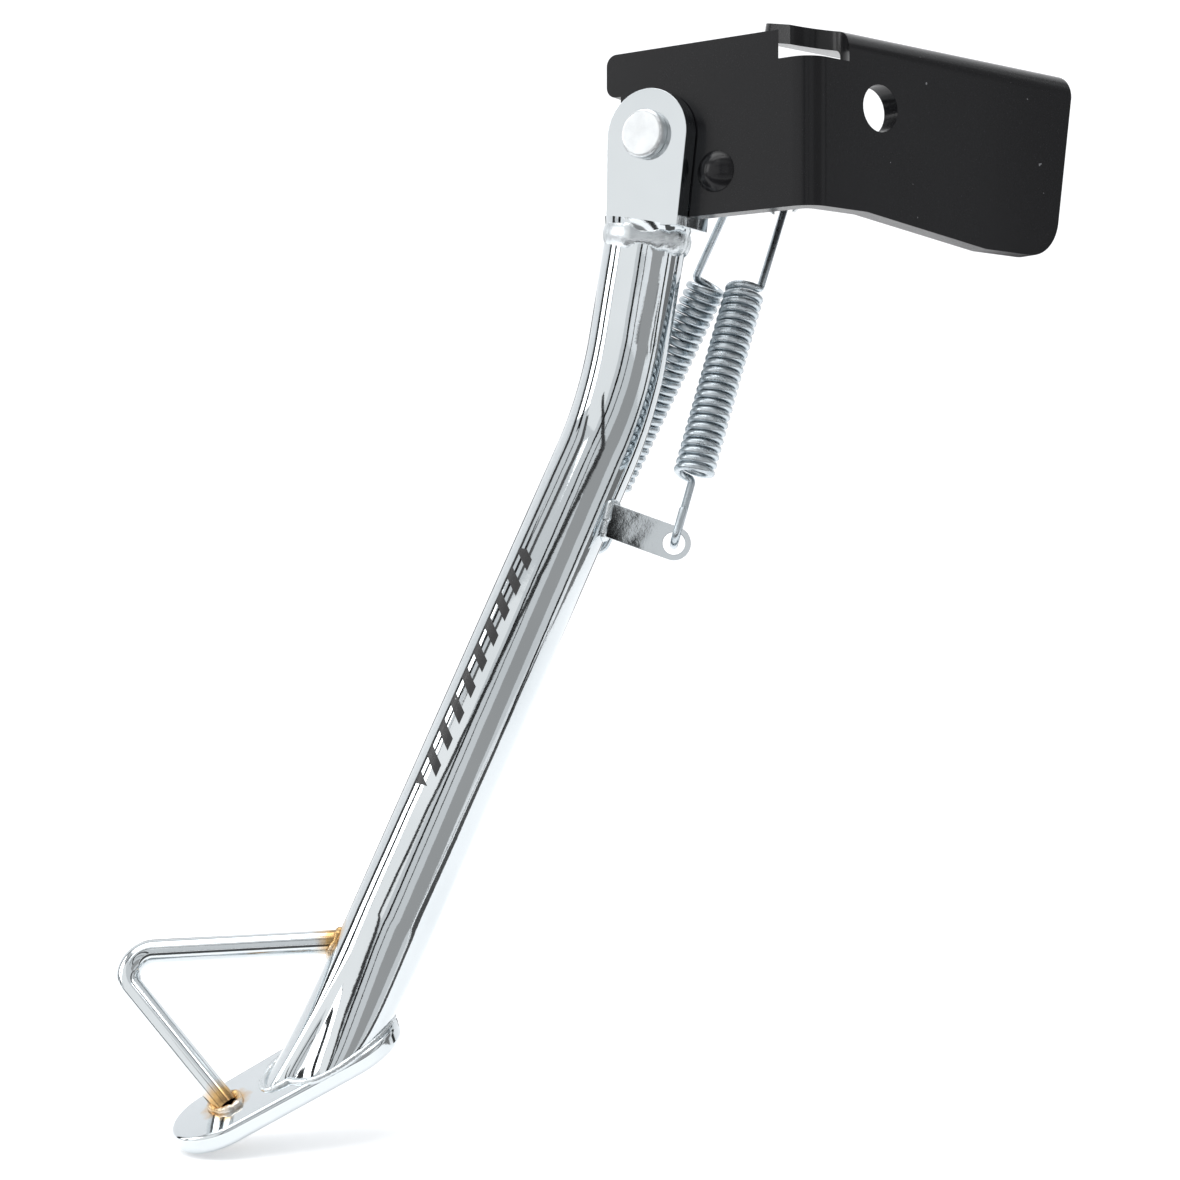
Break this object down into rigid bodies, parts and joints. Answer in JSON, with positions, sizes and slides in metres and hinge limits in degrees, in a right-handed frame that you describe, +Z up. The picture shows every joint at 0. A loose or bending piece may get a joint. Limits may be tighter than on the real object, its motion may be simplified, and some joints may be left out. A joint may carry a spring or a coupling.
{
  "type": "motorcycle side stand",
  "caption": "Folded steel mounting bracket with a swinging chromed tube leg, flat foot, V-bent kick rod and return springs hooked to a welded tab.",
  "frame": {"origin": "centre of the main frame bolt hole, half way through the mounting wall", "axes": "+Z up, +Y inboard along the leg's pivot axis, -X the way the leg swings up"},
  "size_m": [0.1749, 0.2201, 0.2862],
  "materials": {
    "black_steel": "gloss black enamel",
    "chromed_steel": "bright chrome plate",
    "weld_metal": "rippled weld bead under chrome, with heat tint",
    "zinc_steel": "bright zinc plate",
    "spring_wire": "blue-white zinc plate"
  },
  "bodies": {
    "bracket": {"bracket_plate": "black_steel", "spring_post": "black_steel", "spring_post_clip": "zinc_steel"},
    "leg": {"pivot_pin": "zinc_steel", "pivot_washer": "zinc_steel", "clevis_yoke": "chromed_steel", "yoke_weld": "weld_metal", "leg_tube": "chromed_steel", "foot_plate": "chromed_steel", "foot_weld": "weld_metal", "kick_rod": "chromed_steel", "kick_rod_leg_weld": "weld_metal", "kick_rod_foot_weld": "weld_metal", "front_spring_tab": "chromed_steel", "front_tab_weld": "weld_metal", "rear_spring_tab": "chromed_steel", "rear_tab_weld": "weld_metal"},
    "front_spring_upper": {"front_spring_upper_hook": "spring_wire", "front_spring_coil": "spring_wire"},
    "front_spring_lower": {"front_spring_lower_hook": "spring_wire"},
    "rear_spring_upper": {"rear_spring_upper_hook": "spring_wire", "rear_spring_coil": "spring_wire"},
    "rear_spring_lower": {"rear_spring_lower_hook": "spring_wire"}
  },
  "joints": [
    {"name": "leg_pivot", "type": "hinge", "parent": "bracket", "child": "leg", "pos_m": [-0.05213, -0.02166, -0.0057], "axis": [0, 1, 0], "range_deg": [0, 100]},
    {"name": "front_spring_swing", "type": "hinge", "parent": "bracket", "child": "front_spring_upper", "pos_m": [-0.03413, 0.00784, -0.0164], "axis": [0, 1, 0], "range_deg": [0, 93.67]},
    {"name": "front_spring_stretch", "type": "slide", "parent": "front_spring_upper", "child": "front_spring_lower", "axis": [-0.1203, 0, -0.9927], "range_m": [0, 0.02959], "deforming": ["front_spring_coil", "front_spring_upper_hook", "front_spring_lower_hook"]},
    {"name": "rear_spring_swing", "type": "hinge", "parent": "bracket", "child": "rear_spring_upper", "pos_m": [-0.03413, -0.00216, -0.0164], "axis": [0, 1, 0], "range_deg": [0, 89.9]},
    {"name": "rear_spring_stretch", "type": "slide", "parent": "rear_spring_upper", "child": "rear_spring_lower", "axis": [-0.4737, 0, -0.8807], "range_m": [0, 0.02376], "deforming": ["rear_spring_coil", "rear_spring_upper_hook", "rear_spring_lower_hook"]}
  ],
  "couplings": [
    {"joint": "front_spring_swing", "follows": "leg_pivot", "ratio": 0.93656},
    {"joint": "front_spring_stretch", "follows": "leg_pivot", "m_per_rad": 0.016945},
    {"joint": "rear_spring_swing", "follows": "leg_pivot", "ratio": 0.89887},
    {"joint": "rear_spring_stretch", "follows": "leg_pivot", "m_per_rad": 0.013608}
  ]
}
